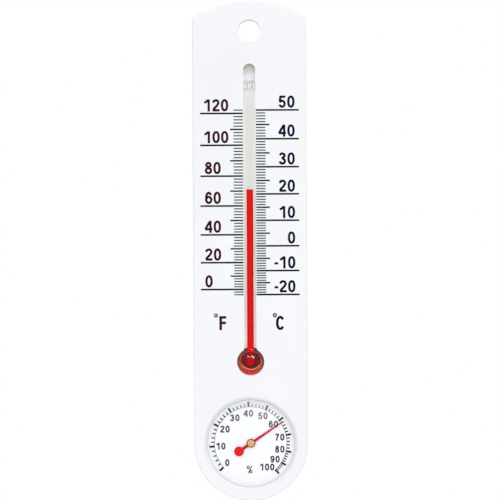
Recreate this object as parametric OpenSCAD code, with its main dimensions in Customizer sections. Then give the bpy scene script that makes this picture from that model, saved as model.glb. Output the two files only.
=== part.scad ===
// Wall thermo-hygrometer: a moulded strip with a spirit thermometer and a round dial hygrometer.
// The origin is the centre of the hanging hole on the front face. +Z is up and the wall is at +Y.

/* [Moulded body] */
// Width of the body
body_w = 50; // [48:0.5:56]
// Height from the top of the arch to the bottom of the round end
body_h = 220; // [200:1:260]
// Depth from the front face to the wall
body_d = 13; // [13:0.2:18]
// Thickness of the front plate
plate_t = 2; // [1.8:0.1:2.2]
// Thickness of the skirt round the edge
skirt_t = 1.8; // [1.4:0.1:2.2]
// Rounding of the front edge
edge_r = 0.6; // [0.3:0.1:1]
// Radius of the arched top
arch_r = 45.7; // [40:0.5:60]
// Radius of the two top corners
corner_r = 3; // [2.6:0.1:6]
// Radius of the hanging hole
hang_r = 5; // [3:0.25:6]
// Height of the arch above the centre of the hanging hole
hang_to_top = 13.5; // [12:0.5:18]
// Wall of the collar round the hanging hole
collar_t = 1.6; // [1:0.1:2.4]
// Length of the collar, measured from the front face
collar_len = 4; // [3:0.25:8]
// Thickness of the stiffening ribs
rib_t = 1.2; // [0.8:0.1:1.6]
// How far the ribs reach back from the front face
rib_depth = 6; // [4:0.25:9]
// Distance between the stiffening ribs
rib_pitch = 24; // [18:1:32]

/* [Thermometer opening] */
// Width of the slot that shows the stem
slot_w = 5.25; // [4.6:0.05:5.5]
// Drop from the hanging hole to the round top of the slot
slot_top = 14.25; // [13:0.25:18]
// Radius of the round opening for the bulb
bulb_hole_r = 6; // [5.6:0.1:6.4]
// Height of the bulb's centre above the centre of the dial
bulb_above_dial = 36; // [35.5:0.5:42]
// Rounding where the slot runs into the bulb opening
neck_round = 2; // [1.6:0.1:3]

/* [Glass and spirit] */
// Diameter of the glass stem
stem_d = 5.8; // [5.7:0.05:6.2]
// Drop from the hanging hole to the closed tip of the stem
tip_drop = 21.6; // [20:0.2:28]
// Glass left above the end of the bore
tip_wall = 1.2; // [0.8:0.1:2]
// Diameter of the bore
bore_d = 1.9; // [1.4:0.1:2.2]
// Wall of the blown bulb
bulb_wall = 0.6; // [0.4:0.05:1]
// Drop from the hanging hole to the top of the red spirit
level_drop = 69.6; // [36:0.2:104]
// Length of the top of the spirit that moves as one piece
slug_len = 3; // [2:0.25:5]
// Thickness of the white coat on the back of the stem
enamel_t = 0.12; // [0.08:0.02:0.2]

/* [Stem cradle] */
// Width of the cradle behind the stem
cradle_w = 9.6; // [9:0.2:11]
// Plastic left behind the trough
cradle_floor_t = 2.2; // [1.8:0.1:3]
// Depth of the flat floor that shows above the tip of the stem
cradle_step_d = 4.2; // [3:0.1:5]
// Length of each soft pad
pad_len = 6; // [4:0.5:10]
// Thickness of the cradle's ears
ear_t = 1.4; // [1:0.1:2]

/* [Screws] */
// Diameter of the screw shanks
screw_d = 2; // [1.6:0.1:2.2]
// Diameter of the screw heads
screw_head_d = 3.8; // [3.4:0.1:4.2]
// Thickness of the screw heads
screw_head_t = 1.2; // [1:0.1:1.6]
// Plastic round each screw hole
boss_wall = 1.2; // [1:0.1:1.4]

/* [Hygrometer window and case] */
// Width of the body left beside the clear window
window_border = 5.6; // [5.5:0.1:7]
// Width of the sloping edge round the window
bevel_w = 1.15; // [1:0.05:1.8]
// Depth of the sloping edge
bevel_d = 1.3; // [0.8:0.1:1.5]
// How far the window lies behind the front face
window_in = 1.2; // [0.9:0.1:1.4]
// Thickness of the window
window_t = 1; // [0.8:0.1:1.1]
// Free height between the window and the dial
dial_gap = 1.4; // [1.3:0.1:2]
// Thickness of the dial plate
dial_t = 0.5; // [0.3:0.1:0.8]
// Thickness of the flange of the case
flange_t = 1.5; // [1.2:0.1:2]
// Inner radius of the cup that holds the coil
cup_r = 11.4; // [11:0.2:13]
// Wall of the case
case_t = 1.2; // [0.8:0.1:1.6]
// Depth of the cup behind the dial plate
cup_depth = 5.3; // [5.2:0.1:6]
// Number of air slots in the back of the case
vent_n = 8; // [4:1:12]
// Width of each air slot
vent_w = 2; // [1:0.1:2.4]

/* [Hygrometer movement] */
// Angle of the pointer at rest, clockwise from straight up
pointer_angle = 56.1; // [-131:0.1:137]
// Gap between the tip of the pointer and the edge of the window
pointer_clear = 2.7; // [1.5:0.1:4]
// Width of the pointer at its hub
pointer_root_w = 1.3; // [0.9:0.05:1.8]
// Width of the pointer at its tip
pointer_tip_w = 0.4; // [0.3:0.05:0.8]
// Thickness of the pointer
pointer_t = 0.25; // [0.2:0.01:0.3]
// Distance from the axis to the round counterweight
tail_len = 6.4; // [5:0.1:8]
// Radius of the round counterweight
tail_r = 2.13; // [1.6:0.05:2.6]
// Radius of the red disc under the hub
pointer_disc_r = 1.95; // [1.9:0.05:2.4]
// Radius of the brass hub cap
hub_r = 1.7; // [1.4:0.05:1.85]
// Diameter of the pointer's shaft
shaft_d = 1; // [0.8:0.05:1.1]
// Turns of the humidity coil
coil_turns = 5.5; // [4:0.5:7]
// Thickness of the coil's strip
coil_t = 0.25; // [0.15:0.05:0.35]
// Width of the coil's strip
coil_w = 2.2; // [1.6:0.1:2.6]
// Radius at which the coil is anchored
anchor_r = 9.6; // [9:0.1:9.8]
// Radius of the collet that holds the inner end of the coil
collet_r = 2.2; // [1.8:0.1:2.6]
// Radius of the adjuster's head
adjuster_r = 3.3; // [2.8:0.1:4]
// Radius of the adjuster's neck
adjuster_neck_r = 1.5; // [1.3:0.05:1.7]

/* [Clearances] */
// Gap beside the stem and the bulb where they seat
seat_gap = 0.03; // [0.02:0.01:0.06]
// Gap round a fixed piece in its seat
fit_gap = 0.1; // [0.05:0.01:0.12]
// Radial gap of a running shaft
run_gap = 0.05; // [0.03:0.01:0.08]
// Radial gap of a pressed or filled bore
press_gap = 0.02; // [0.01:0.005:0.03]

/* [Hidden] */
$fn = 96;

// Heights on the front, from the hanging hole, and the centres of the outline's arcs
half_w = body_w / 2;
arch_y = hang_to_top - arch_r;
corner_x = half_w - corner_r;
corner_y = arch_y + sqrt(pow(arch_r - corner_r, 2) - pow(corner_x, 2));
arch_angle = asin(corner_x / (arch_r - corner_r));
dial_y = hang_to_top - body_h + half_w;
bulb_drop = -dial_y - bulb_above_dial;
inner_w = half_w - skirt_t;

// Steps along the curves of the outline, and the slopes of its rounded front edge
corner_steps = 8;
arch_steps = 32;
end_steps = 64;
edge_slope = 22.5;

// The stem rests against the rear edges of the slot, and the bulb against those of its opening
stem_r = stem_d / 2;
stem_depth = plate_t + sqrt(pow(stem_r, 2) - pow(slot_w / 2, 2)) + seat_gap;
bulb_r = sqrt(pow(bulb_hole_r, 2) + pow(stem_depth - plate_t, 2)) - seat_gap;
bore_r = bore_d / 2;
bulb_cavity_r = bulb_r - bulb_wall;
glass_neck_round = 1.2;
cavity_neck_round = 2;
neck_bite = 0.01;
fill_top = neck_height(bulb_cavity_r, bore_r, cavity_neck_round);
bore_top = bulb_drop - tip_drop - tip_wall - bore_r;
meniscus_r = 1.2 * bore_r;
coat_r = stem_r + enamel_t;
coat_side = stem_r / 6;

// The screws, their bosses and the ears that they hold
screw_r = screw_d / 2;
boss_r = screw_r + boss_wall;
ear_r = boss_r + 0.4;
boss_floor = plate_t + 0.3;
screw_tip_gap = 0.2;
cross_w = 0.6;
cross_len = 0.7 * screw_head_d;

// The cradle, its ears and its soft pads
trough_r = coat_r + fit_gap;
cradle_over_slot = 2.5;
cradle_over_bulb = 9;
cradle_top = slot_top - cradle_over_slot;
cradle_bottom = bulb_drop - cradle_over_bulb;
cradle_depth = stem_depth + trough_r + cradle_floor_t;
ear_depth = 5;
ear_offset = 3.7;
ear_x = cradle_w / 2 + ear_offset;
top_ear_drop = 28;
ear_over_bulb = 25;
ear_drops = [top_ear_drop, bulb_drop - ear_over_bulb];
top_pad_drop = 34;
pad_over_bulb = 19;
pad_drops = [top_pad_drop, bulb_drop - pad_over_bulb];
pad_w = 4.9;
pad_front = stem_depth + coat_r / 2;
pad_back = stem_depth + trough_r + cradle_floor_t / 2;
rib_start = ear_x + ear_r + 0.4;

// The window, the dial and the case, as depths behind the front face
window_r = half_w - window_border;
window_back = window_in + window_t;
window_chamfer = 0.2;
dial_depth = window_back + dial_gap;
dial_r = window_r + 0.4;
lens_wall_r = window_r - 0.4;
lens_flange_r = window_r + 1.7;
flange_r = lens_flange_r + 0.9;
flange_back = dial_depth + flange_t;
cup_floor = dial_depth + dial_t + cup_depth;
cup_back = cup_floor + case_t;
case_ear_x = inner_w - ear_r - 0.6;
case_ear_y = 15.5;
case_ear_depth = 6.6;
case_ear_turn = atan2(case_ear_y, case_ear_x);
case_ear_reach = norm([case_ear_x, case_ear_y]);
case_ear_root = flange_r - 1.2;
lug_r = flange_r - 1;
lug_t = 1.4;
lug_w = 12;
vent_edge = 1;
side_vent_edge = 0.6;

// The movement, as depths behind the front face
shaft_r = shaft_d / 2;
hub_front = window_back + 0.35;
hub_cap_t = 0.35;
hub_sleeve_r = shaft_r + 0.4;
shaft_cap_r = shaft_r + 0.15;
shaft_cap_t = 0.1;
pointer_front = hub_front + hub_cap_t;
pointer_len = window_r - pointer_clear;
bush_r = shaft_r + 0.7;
bush_flange_r = bush_r + 0.6;
bush_flange_t = 0.18;
bush_len = 1.4;
arm_t = 0.8;
arm_eye = 1.6;
arm_edge = 0.5;
washer_r = adjuster_neck_r + 1.5;
washer_t = 0.16;
arm_back = cup_floor - washer_t - 0.04;
arm_front = arm_back - arm_t;
coil_back = arm_front - 0.7;
coil_front = coil_back - coil_w;
coil_side = 0.3;
coil_inner_r = collet_r + press_gap + coil_t / 2;
coil_pitch = (anchor_r - coil_inner_r) / coil_turns;
coil_steps = 36;
coil_points = [for (i = [0:coil_turns * coil_steps]) i * 360 / coil_steps];
anchor_turn = coil_turns * 360;
anchor_post_r = 0.9;
anchor_stub_r = 0.6;
anchor_slit = coil_t + 0.16;
spindle_front = arm_front - 0.2;
bearing_back = spindle_front + 1.6;
head_front = cup_back + fit_gap;
drive_w = 0.9;
drive_d = 0.7;
drive_floor = 0.5;

// Turns a drawing, with its face towards +Z, into the upright object
module upright() rotate([90, 0, 0]) children();

// A flat shape between two depths behind the front face
module slab(near, far) translate([0, 0, -far]) linear_extrude(far - near) children();

// A disc between two depths behind the front face
module disc(r, near, far) slab(near, far) circle(r);

// Moves to a drop below the hanging hole
module drop_to(drop, x = 0) translate([x, -drop, 0]) children();

// Turns children from the axis of the glass, where Z runs up the stem and Y runs to the wall
module along_stem() translate([0, 0, -stem_depth]) rotate([-90, 0, 0]) children();

// Height above a ball's centre at which a fillet between the ball and its stem ends. The fillet
// cuts into the ball by a hair, so that the two meet in a clean edge.
function neck_height(ball_r, stem_r, fillet_r) =
    sqrt(pow(ball_r + fillet_r - neck_bite, 2) - pow(stem_r + fillet_r, 2));

// Half outline of a ball with a filleted stem on top, up to a given height
module ball_and_stem(ball_r, stem_r, fillet_r, stem_top) {
    neck_h = neck_height(ball_r, stem_r, fillet_r);
    intersection() {
        circle(ball_r);
        translate([0, -ball_r]) square([ball_r, 2 * ball_r]);
    }
    square([stem_r, stem_top]);
    difference() {
        polygon([[0, 0], [stem_r + fillet_r, neck_h], [0, neck_h]]);
        translate([stem_r + fillet_r, neck_h]) circle(fillet_r);
    }
}

// Points along an arc, with a few of the first and last ones left out where another arc has them
function arc_points(centre, r, from, to, steps, skip = 0) =
    [for (i = [skip : steps - skip]) centre + r * [cos(from + (to - from) * i / steps),
        sin(from + (to - from) * i / steps)]];

// The body's outline, drawn in by an inset: corner, arch, corner and round end
function outline_points(inset) = concat(
    arc_points([corner_x, corner_y], corner_r - inset, 0, 90 - arch_angle, corner_steps),
    arc_points([0, arch_y], arch_r - inset, 90 - arch_angle, 90 + arch_angle, arch_steps, 1),
    arc_points([-corner_x, corner_y], corner_r - inset, 90 + arch_angle, 180, corner_steps),
    arc_points([0, dial_y], half_w - inset, 180, 360, end_steps));

module outline(inset) polygon(outline_points(inset));

// Tray with a rounded front edge, open to the wall
module tray() difference() {
    hull() for (turn = [0 : edge_slope : 90])
        slab(edge_r * (1 - sin(turn)), body_d) outline(edge_r * (1 - cos(turn)));
    slab(plate_t, body_d + 1) outline(skirt_t);
}

// The slot and the round bulb opening, with rounded inner corners between them
module stem_opening() {
    drop_to(slot_top + slot_w / 2) circle(slot_w / 2);
    drop_to(bulb_drop) {
        for (side = [0, 1]) mirror([side, 0])
            ball_and_stem(bulb_hole_r, slot_w / 2, neck_round, bulb_drop - slot_top - slot_w / 2);
    }
}

// Children at the two ears of the case
module at_case_ears() for (side = [-1, 1])
    translate([side * case_ear_x, dial_y + case_ear_y, 0]) children();

// Children at the ears of the cradle
module at_cradle_ears() for (drop = ear_drops, side = [-1, 1])
    drop_to(drop, side * ear_x) children();

// Children turned so that +X runs from the dial's axis to each ear of the case
module along_case_ears() for (turn = [case_ear_turn, 180 - case_ear_turn])
    translate([0, dial_y, 0]) rotate([0, 0, turn]) children();

// Pan-head screw from the back, seated at one depth and ending at another
module screw(seat, tip) {
    disc(screw_r, tip, seat);
    difference() {
        disc(screw_head_d / 2, seat, seat + screw_head_t);
        for (turn = [0, 90]) rotate([0, 0, turn])
            slab(seat + screw_head_t / 2, seat + 2 * screw_head_t)
                square([cross_w, cross_len], center = true);
    }
}

// Ribs from the skirt towards the cradle, clear of its ears
module ribs() for (drop = [slot_top + rib_pitch : rib_pitch : bulb_drop], side = [0, 1])
    mirror([side, 0, 0]) drop_to(drop) slab(plate_t / 2, rib_depth)
        translate([rib_start, -rib_t / 2]) square([inner_w + skirt_t / 2 - rib_start, rib_t]);

// Wall behind the face that centres the case, open at the case's ears
module case_ring() difference() {
    translate([0, dial_y, 0]) disc(half_w - skirt_t / 2, plate_t / 2, flange_back);
    translate([0, dial_y, 0]) disc(flange_r + fit_gap, 0, body_d);
    along_case_ears() slab(0, body_d)
        translate([0, -ear_r - fit_gap]) square([body_w, 2 * (ear_r + fit_gap)]);
}

// Lug at the round end that the edge of the case slides under
module case_lug() intersection() {
    translate([0, dial_y, 0]) difference() {
        disc(half_w - skirt_t / 2, flange_back + fit_gap, flange_back + fit_gap + lug_t);
        disc(lug_r, 0, body_d);
    }
    translate([0, dial_y, 0]) slab(0, body_d)
        translate([-lug_w / 2, -half_w]) square([lug_w, half_w]);
}

module front_shell() upright() color("white") difference() {
    union() {
        tray();
        disc(hang_r + collar_t, plate_t / 2, collar_len);
        at_cradle_ears() disc(boss_r, plate_t / 2, ear_depth);
        at_case_ears() disc(boss_r, plate_t / 2, case_ear_depth);
        ribs();
        case_ring();
        case_lug();
    }
    disc(hang_r, -1, collar_len + 1);
    slab(-1, plate_t + 1) stem_opening();
    at_cradle_ears() disc(screw_r + press_gap, boss_floor, ear_depth + 1);
    at_case_ears() disc(screw_r + press_gap, boss_floor, case_ear_depth + 1);
    translate([0, dial_y, 0]) {
        disc(window_r + fit_gap, -1, plate_t + 1);
        translate([0, 0, -bevel_d])
            cylinder(h = 2 * bevel_d, r1 = window_r + fit_gap, r2 = window_r + fit_gap + 2 * bevel_w);
    }
}

module stem_cradle() upright() color("ghostwhite") difference() {
    union() {
        slab(plate_t + press_gap, cradle_depth) translate([-cradle_w / 2, -cradle_bottom])
            square([cradle_w, cradle_bottom - cradle_top]);
        for (drop = ear_drops) drop_to(drop) slab(ear_depth, ear_depth + ear_t) {
            translate([-ear_x, -ear_r]) square([2 * ear_x, 2 * ear_r]);
            for (side = [-1, 1]) translate([side * ear_x, 0]) circle(ear_r);
        }
    }
    along_stem() translate([0, 0, -bulb_drop]) linear_extrude(bulb_drop - tip_drop + fit_gap)
        trough_section();
    slab(0, cradle_step_d) translate([-trough_r, -tip_drop - fit_gap])
        square([2 * trough_r, tip_drop - slot_top + 1]);
    for (drop = pad_drops) drop_to(drop)
        slab(0, pad_back + press_gap)
            square([pad_w + 2 * press_gap, pad_len + 2 * press_gap], center = true);
    at_cradle_ears() disc(screw_r + fit_gap, 0, body_d);
}

// The trough round the back of the stem, open to the front
module trough_section() {
    circle(trough_r);
    translate([-trough_r, -stem_depth]) square([2 * trough_r, stem_depth]);
}

module cradle_screws() upright() color("silver")
    at_cradle_ears() screw(ear_depth + ear_t, boss_floor + screw_tip_gap);

module stem_pads() upright() color("dimgray") difference() {
    for (drop = pad_drops) drop_to(drop)
        slab(pad_front, pad_back) square([pad_w, pad_len], center = true);
    along_stem() translate([0, 0, -bulb_drop]) cylinder(h = bulb_drop, r = coat_r + press_gap / 2);
}

module thermometer_glass() upright() color("lightcyan", 0.5) along_stem()
    translate([0, 0, -bulb_drop]) rotate_extrude() difference() {
        union() {
            ball_and_stem(bulb_r, stem_r, glass_neck_round, bulb_drop - tip_drop - stem_r);
            dome(stem_r, bulb_drop - tip_drop - stem_r);
        }
        ball_and_stem(bulb_cavity_r, bore_r, cavity_neck_round, bore_top);
        dome(bore_r, bore_top);
    }

// Quarter circle that closes the top of a turned half outline
module dome(r, height) translate([0, height]) intersection() {
    circle(r);
    square(r);
}

module enamel_backing() upright() color("ivory") along_stem() translate([0, 0, -cradle_bottom])
    linear_extrude(cradle_bottom - tip_drop - stem_r) difference() {
        intersection() {
            circle(coat_r);
            translate([-coat_r, coat_side]) square([2 * coat_r, coat_r]);
        }
        circle(stem_r);
    }

module spirit_fill() upright() color("firebrick") along_stem()
    translate([0, 0, -bulb_drop]) rotate_extrude()
        ball_and_stem(bulb_cavity_r - press_gap, bore_r - press_gap, cavity_neck_round + press_gap, fill_top);

module spirit_column() upright() color("red") along_stem()
    translate([0, 0, fill_top - bulb_drop])
        cylinder(h = bulb_drop - fill_top - level_drop - slug_len, r = bore_r - press_gap);

// The top of the spirit, dished where it wets the glass
module spirit_meniscus() upright() color("red") along_stem()
    translate([0, 0, -level_drop - slug_len]) rotate_extrude() difference() {
        square([bore_r - press_gap, slug_len]);
        translate([0, slug_len + bore_r]) circle(meniscus_r);
    }

// One ear of the case, stepped back from the flange to its screw
module case_ear() {
    slab(dial_depth, case_ear_depth + ear_t) translate([case_ear_root, -ear_r])
        square([case_ear_reach - boss_r - fit_gap - case_ear_root, 2 * ear_r]);
    slab(case_ear_depth, case_ear_depth + ear_t) {
        translate([case_ear_root, -ear_r]) square([case_ear_reach - case_ear_root, 2 * ear_r]);
        translate([case_ear_reach, 0]) circle(ear_r);
    }
}

module hygrometer_case() upright() color("whitesmoke") difference() {
    union() {
        translate([0, dial_y, 0]) disc(flange_r, dial_depth, flange_back);
        translate([0, dial_y, 0]) disc(cup_r + case_t, dial_depth, cup_back);
        along_case_ears() case_ear();
    }
    translate([0, dial_y, 0]) {
        disc(dial_r + fit_gap, 0, dial_depth + dial_t);
        disc(cup_r, 0, cup_floor);
        disc(adjuster_neck_r + run_gap, 0, body_d);
        for (i = [0 : vent_n - 1]) rotate([0, 0, i * 360 / vent_n]) {
            slab(cup_floor - 1, body_d) translate([adjuster_r + vent_edge, -vent_w / 2])
                square([cup_r - adjuster_r - 2 * vent_edge, vent_w]);
            slab(flange_back + side_vent_edge, cup_floor - side_vent_edge)
                translate([cup_r - 1, -vent_w]) square([case_t + 2, 2 * vent_w]);
        }
    }
    at_case_ears() disc(screw_r + fit_gap, dial_depth, body_d);
}

module case_screws() upright() color("silver")
    at_case_ears() screw(case_ear_depth + ear_t, boss_floor + screw_tip_gap);

module dial_lens() upright() color("azure", 0.4) translate([0, dial_y, 0]) rotate_extrude() polygon([
    [0, -window_in], [window_r - window_chamfer, -window_in],
    [window_r, -window_in - window_chamfer], [window_r, -plate_t - press_gap],
    [lens_flange_r, -plate_t - press_gap],
    [lens_flange_r, -dial_depth], [lens_wall_r, -dial_depth],
    [lens_wall_r, -window_back], [0, -window_back]]);

module dial_plate() upright() color("white") translate([0, dial_y, 0]) difference() {
    disc(dial_r, dial_depth, dial_depth + dial_t);
    disc(bush_r + press_gap, 0, body_d);
}

module front_bush() upright() color("goldenrod") translate([0, dial_y, 0]) difference() {
    union() {
        disc(bush_r, dial_depth - bush_flange_t, dial_depth + bush_len);
        disc(bush_flange_r, dial_depth - bush_flange_t, dial_depth);
    }
    disc(shaft_r + run_gap, 0, body_d);
}

// Children turned clockwise to the pointer's place at rest
module at_pointer() translate([0, dial_y, 0]) rotate([0, 0, -pointer_angle]) children();

module pointer() upright() color("crimson") at_pointer() difference() {
    slab(pointer_front, pointer_front + pointer_t) {
        polygon([[-pointer_root_w / 2, 0], [pointer_root_w / 2, 0],
            [pointer_tip_w / 2, pointer_len], [-pointer_tip_w / 2, pointer_len]]);
        translate([-pointer_root_w / 2, -tail_len]) square([pointer_root_w, tail_len]);
        translate([0, -tail_len]) circle(tail_r);
        circle(pointer_disc_r);
    }
    disc(hub_sleeve_r + press_gap, 0, body_d);
}

module pointer_hub() upright() color("goldenrod") at_pointer() difference() {
    union() {
        disc(hub_r, hub_front, pointer_front);
        disc(hub_sleeve_r, hub_front, pointer_front + pointer_t + fit_gap);
    }
    disc(shaft_r + press_gap / 2, 0, body_d);
}

module pointer_shaft() upright() color("silver") at_pointer() {
    disc(shaft_r, hub_front, bearing_back - 2 * fit_gap);
    disc(shaft_cap_r, hub_front - shaft_cap_t, hub_front);
}

module coil_collet() upright() color("goldenrod") at_pointer() difference() {
    disc(collet_r, coil_front - coil_side, coil_back + coil_side);
    disc(shaft_r + press_gap / 2, 0, body_d);
}

// Middle line of the humidity coil, as the radius at an angle from its inner end
function coil_r(angle) = coil_inner_r + coil_pitch * angle / 360;
function on_coil(angle, side) = (coil_r(angle) + side * coil_t / 2)
    * [cos(anchor_turn - angle), -sin(anchor_turn - angle)];

// Gaps between each point of the coil and the turn outside it
coil_gaps = [for (a = [0 : 10 : anchor_turn - 360]) norm(on_coil(a + 360, -1) - on_coil(a, 1))];
echo(least_coil_gap_mm = min(coil_gaps));

module humidity_coil() upright() color("peru") translate([0, dial_y, 0])
    slab(coil_front, coil_back) polygon(concat(
        [for (a = coil_points) on_coil(a, 1)],
        [for (i = [len(coil_points) - 1 : -1 : 0]) on_coil(coil_points[i], -1)]));

module coil_anchor() upright() color("goldenrod") translate([anchor_r, dial_y, 0]) difference() {
    union() {
        disc(anchor_post_r, coil_front - coil_side, arm_front);
        disc(anchor_stub_r, arm_front, arm_back);
    }
    slab(0, coil_back + fit_gap) translate([-anchor_slit / 2, -anchor_post_r])
        square([anchor_slit, 2 * anchor_post_r]);
}

module adjuster_arm() upright() color("goldenrod") translate([0, dial_y, 0]) difference() {
    slab(arm_front, arm_back) {
        circle(adjuster_neck_r + arm_eye);
        translate([0, -anchor_post_r - arm_edge]) square([anchor_r, 2 * (anchor_post_r + arm_edge)]);
        translate([anchor_r, 0]) circle(anchor_post_r + arm_edge);
    }
    disc(adjuster_neck_r + press_gap / 2, 0, body_d);
    translate([anchor_r, 0, 0]) disc(anchor_stub_r + press_gap / 2, 0, body_d);
}

module adjuster_spindle() upright() color("gold") translate([0, dial_y, 0]) difference() {
    union() {
        disc(adjuster_neck_r, spindle_front, head_front);
        disc(adjuster_r, head_front, head_front + drive_floor + drive_d);
    }
    disc(shaft_r + run_gap, spindle_front - 1, bearing_back);
    slab(head_front + drive_floor, body_d + 1)
        square([drive_w, 3 * adjuster_r], center = true);
}

module friction_washer() upright() color("silver") translate([0, dial_y, 0]) difference() {
    disc(washer_r, cup_floor - washer_t, cup_floor);
    disc(adjuster_neck_r + fit_gap, 0, body_d);
}

front_shell();
stem_cradle();
cradle_screws();
stem_pads();
thermometer_glass();
enamel_backing();
spirit_fill();
spirit_column();
spirit_meniscus();
hygrometer_case();
case_screws();
dial_lens();
dial_plate();
front_bush();
pointer();
pointer_hub();
pointer_shaft();
coil_collet();
humidity_coil();
coil_anchor();
adjuster_arm();
adjuster_spindle();
friction_washer();
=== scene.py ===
import math

import bmesh
import bpy
import numpy as np
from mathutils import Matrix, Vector


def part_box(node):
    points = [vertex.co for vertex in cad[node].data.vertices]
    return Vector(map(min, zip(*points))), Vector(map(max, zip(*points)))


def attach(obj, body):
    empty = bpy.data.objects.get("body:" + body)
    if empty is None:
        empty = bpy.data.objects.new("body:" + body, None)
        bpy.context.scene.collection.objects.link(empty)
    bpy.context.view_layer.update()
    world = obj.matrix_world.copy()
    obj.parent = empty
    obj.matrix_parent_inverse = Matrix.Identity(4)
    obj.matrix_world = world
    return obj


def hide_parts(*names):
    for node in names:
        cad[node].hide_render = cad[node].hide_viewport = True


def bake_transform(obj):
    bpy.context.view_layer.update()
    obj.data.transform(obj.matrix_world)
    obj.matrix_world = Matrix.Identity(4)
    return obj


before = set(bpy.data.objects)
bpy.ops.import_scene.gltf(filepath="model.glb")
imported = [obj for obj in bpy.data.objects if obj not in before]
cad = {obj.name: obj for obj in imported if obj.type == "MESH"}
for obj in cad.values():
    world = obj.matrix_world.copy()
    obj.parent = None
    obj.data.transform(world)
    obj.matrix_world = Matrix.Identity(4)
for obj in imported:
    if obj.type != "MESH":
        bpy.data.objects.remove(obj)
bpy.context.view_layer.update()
MM = 0.001


# Moulded body
# One injection moulding in white polystyrene: the flat face with its slot, its two round openings
# and the hanging hole, and behind it the skirt, ribs and bosses. The tool leaves a soft sheen.

def new_group(name, inputs, outputs):
    """A node group with named sockets, and its input and output nodes."""
    tree = bpy.data.node_groups.new(name, "ShaderNodeTree")
    for label, kind, value in inputs:
        socket = tree.interface.new_socket(label, in_out="INPUT", socket_type="NodeSocket" + kind)
        socket.default_value = value
    for label, kind in outputs:
        tree.interface.new_socket(label, in_out="OUTPUT", socket_type="NodeSocket" + kind)
    return tree, tree.nodes.new("NodeGroupInput"), tree.nodes.new("NodeGroupOutput")


def place(tree, kind, sockets=None, **settings):
    """A shader node with its settings, and with a value or a link for each named socket."""
    node = tree.nodes.new("ShaderNode" + kind)
    for name, value in settings.items():
        setattr(node, name, value)
    for name, value in (sockets or {}).items():
        if isinstance(value, bpy.types.NodeSocket):
            tree.links.new(value, node.inputs[name])
        else:
            node.inputs[name].default_value = value
    return node


def mixed(tree, share, first, second):
    """The colour between two colours, as a socket."""
    node = place(tree, "Mix", {0: share, 6: first, 7: second}, data_type="RGBA")
    return node.outputs[2]


def spread(tree, value, low, high, to_low=0.0, to_high=1.0):
    """A value stretched from one range to another, as a socket."""
    node = place(tree, "MapRange", {"Value": value, "From Min": low, "From Max": high,
                                    "To Min": to_low, "To Max": to_high})
    return node.outputs["Result"]


def reach_of(tree, spot, centre, keep=(1.0, 0.0, 1.0)):
    """How far a point is from a centre, as a socket. It is counted across and up the face, or along
    the axes that are kept."""
    arm = place(tree, "VectorMath", {0: spot, 1: centre}, operation="SUBTRACT")
    flat = place(tree, "VectorMath", {0: arm.outputs[0], 1: keep}, operation="MULTIPLY")
    return place(tree, "VectorMath", {0: flat.outputs[0]}, operation="LENGTH").outputs["Value"]


def spot_on(tree):
    """Where a point lies on the instrument at rest, in metres, as a socket."""
    return tree.nodes.new("ShaderNodeTexCoord").outputs["Object"]


def maths(tree, operation, *values):
    """The result of an operation on one or two values, as a socket."""
    return place(tree, "Math", dict(enumerate(values)), operation=operation).outputs[0]


def times(tree, first, second):
    """The product of two values, as a socket."""
    return maths(tree, "MULTIPLY", first, second)


def noise(tree, spot, scale, detail, rough=0.5):
    """A cloudy value that changes over the surface, as a socket."""
    node = place(tree, "TexNoise", {"Vector": spot, "Scale": scale, "Detail": detail, "Roughness": rough})
    return node.outputs["Fac"]


def rgb(red, green, blue):
    """A colour written in screen values from 0 to 255, in the linear values that shaders take."""
    linear = [v / 12.92 if v <= 0.04045 else ((v + 0.055) / 1.055) ** 2.4
              for v in (red / 255, green / 255, blue / 255)]
    return (*linear, 1.0)


def new_finish(name, **values):
    """A material with a Principled BSDF that has these constants on its own sockets."""
    finish = bpy.data.materials.new(name)
    finish.use_nodes = True
    shader = finish.node_tree.nodes["Principled BSDF"]
    for label, value in values.items():
        shader.inputs[label.replace("_", " ")].default_value = value
    return finish, finish.node_tree, shader


def roughen(tree, shader, height, strength, depth):
    """Bumps a surface by a height, with a strength from 0 to 1 and a depth in metres."""
    bump = place(tree, "Bump", {"Strength": strength, "Distance": depth, "Height": height})
    tree.links.new(bump.outputs["Normal"], shader.inputs["Normal"])


def wire(tree, shader, group, strength, depth, values):
    """Puts a surface group in a material and joins its colour, roughness and height."""
    node = tree.nodes.new("ShaderNodeGroup")
    node.node_tree = group
    for label, value in values.items():
        node.inputs[label].default_value = value
    tree.links.new(node.outputs["Colour"], shader.inputs["Base Color"])
    tree.links.new(node.outputs["Roughness"], shader.inputs["Roughness"])
    roughen(tree, shader, node.outputs["Height"], strength, depth)
    return node


# Moulded plastic: soft clouds in the colour, a fine orange peel, and a sheen that varies a little
moulded_skin, skin_in, skin_out = new_group(
    "moulded_skin",
    [("Colour", "Color", rgb(240, 242, 244)), ("Cloud", "Color", rgb(234, 236, 238)),
     ("Cloud scale", "Float", 25.0), ("Grain scale", "Float", 1400.0),
     ("Glossy", "Float", 0.25), ("Dull", "Float", 0.4)],
    [("Colour", "Color"), ("Roughness", "Float"), ("Height", "Float")])
skin_spot = spot_on(moulded_skin)
skin_cloud = noise(moulded_skin, skin_spot, skin_in.outputs["Cloud scale"], 3.0)
skin_grain = noise(moulded_skin, skin_spot, skin_in.outputs["Grain scale"], 2.0, 0.45)
skin_haze = noise(moulded_skin, skin_spot, 90.0, 4.0)
moulded_skin.links.new(
    mixed(moulded_skin, spread(moulded_skin, skin_cloud, 0.35, 0.7),
          skin_in.outputs["Colour"], skin_in.outputs["Cloud"]),
    skin_out.inputs["Colour"])
moulded_skin.links.new(
    spread(moulded_skin, skin_haze, 0.3, 0.7, skin_in.outputs["Glossy"], skin_in.outputs["Dull"]),
    skin_out.inputs["Roughness"])
moulded_skin.links.new(skin_grain, skin_out.inputs["Height"])


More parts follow.
